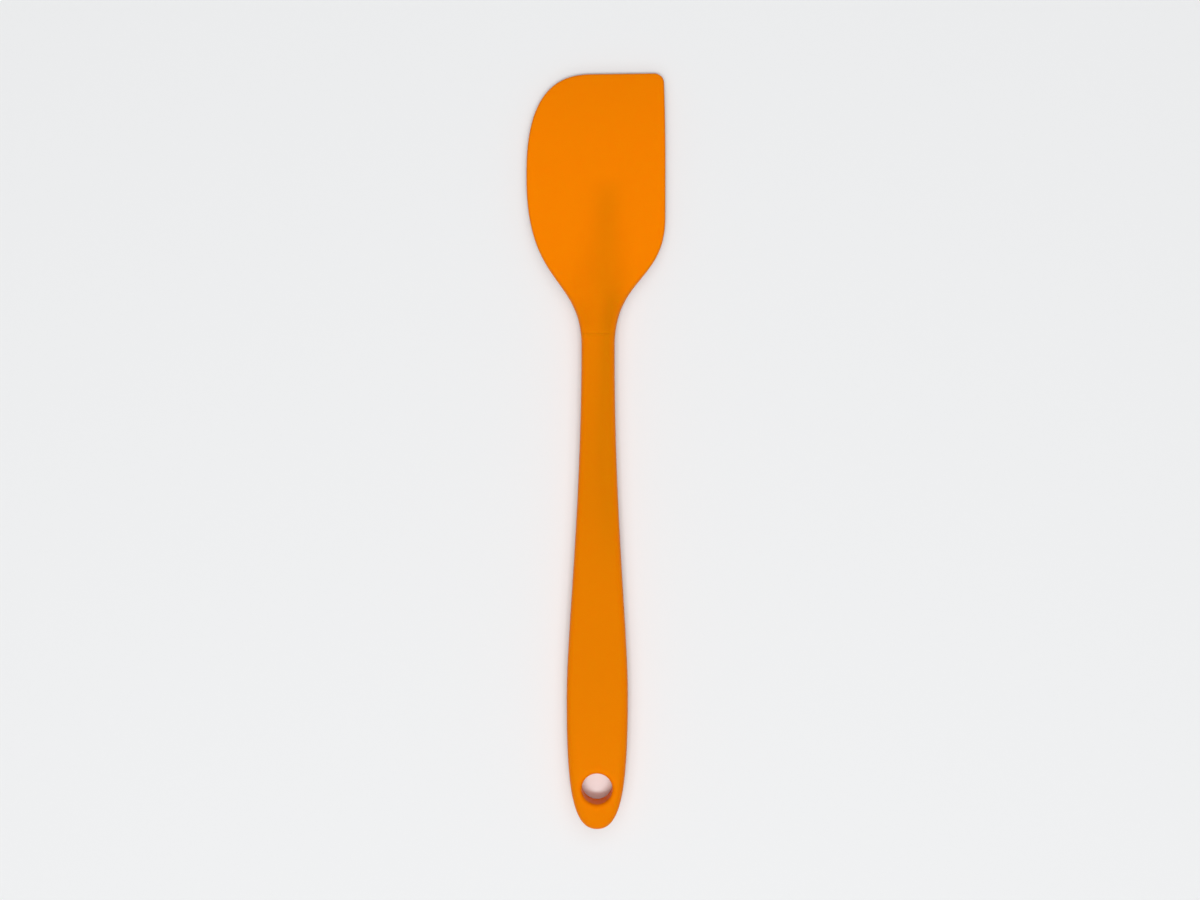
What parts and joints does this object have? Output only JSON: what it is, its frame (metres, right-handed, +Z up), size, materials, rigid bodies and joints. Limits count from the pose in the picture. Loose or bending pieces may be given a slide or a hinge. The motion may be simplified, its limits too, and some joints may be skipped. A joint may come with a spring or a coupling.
{
  "type": "silicone spatula",
  "caption": "Kitchen spatula with a flexible asymmetric silicone blade, a silicone-jacketed handle with a hanging hole, and a rigid inner core.",
  "frame": {"origin": "centre of the hanging hole, on the handle's mid-plane", "axes": "+Y along the handle towards the blade, +Z up out of the upper face, along the hanging hole"},
  "size_m": [0.0516, 0.2794, 0.011],
  "materials": {
    "blade_silicone": "matte moulded silicone",
    "handle_silicone": "matte moulded silicone",
    "core_nylon": "moulded glass-filled nylon"
  },
  "bodies": {
    "root": {"blade": "blade_silicone", "handle_sleeve": "handle_silicone", "core": "core_nylon"}
  },
  "joints": []
}
